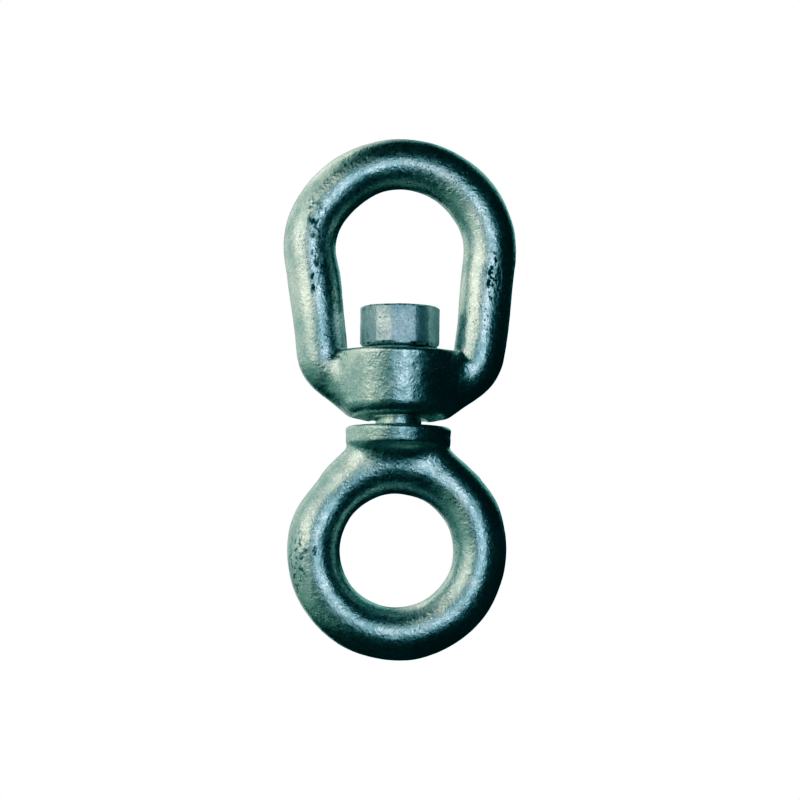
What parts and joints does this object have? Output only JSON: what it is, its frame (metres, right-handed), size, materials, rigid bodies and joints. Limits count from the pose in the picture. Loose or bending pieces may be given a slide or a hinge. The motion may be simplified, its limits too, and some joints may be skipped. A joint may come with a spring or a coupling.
{
  "type": "chain swivel",
  "caption": "Forged chain swivel: a pear-shaped bow whose bored boss carries a turning eye bolt, held by a round nut with milled flats and a cross pin.",
  "frame": {"origin": "the point inside the bow's crown where the bow bears on the hook, shackle or link it hangs from", "axes": "+Z along the swivel axis from the eye up to the bow's crown; +X across the bow; the bow and the eye lie in the XZ plane; -Y is the side seen in the picture"},
  "size_m": [0.0634, 0.036, 0.1445],
  "materials": {
    "galvanised_forging": "hot-dip galvanised forging, fine sugary grain, greenish grey, semi-gloss with dark stains in the pits",
    "galvanised_turned": "galvanised over turning marks and milled flats, a little smoother and paler than the forgings",
    "plain_steel": "plain steel, satin, slightly darker than the zinc"
  },
  "bodies": {
    "bow": {"bow": "galvanised_forging"},
    "washer": {"thrust_washer": "plain_steel"},
    "eye": {"eye_bolt": "galvanised_forging", "swivel_nut": "galvanised_turned", "lock_pin": "plain_steel"}
  },
  "joints": [
    {"name": "swivel_spin", "type": "hinge", "parent": "bow", "child": "washer", "pos_m": [0, 0, -0.0457], "axis": [0, 0, 1], "continuous": true},
    {"name": "axial_float", "type": "slide", "parent": "washer", "child": "eye", "axis": [0, 0, 1], "range_m": [0, 0.0013]}
  ]
}
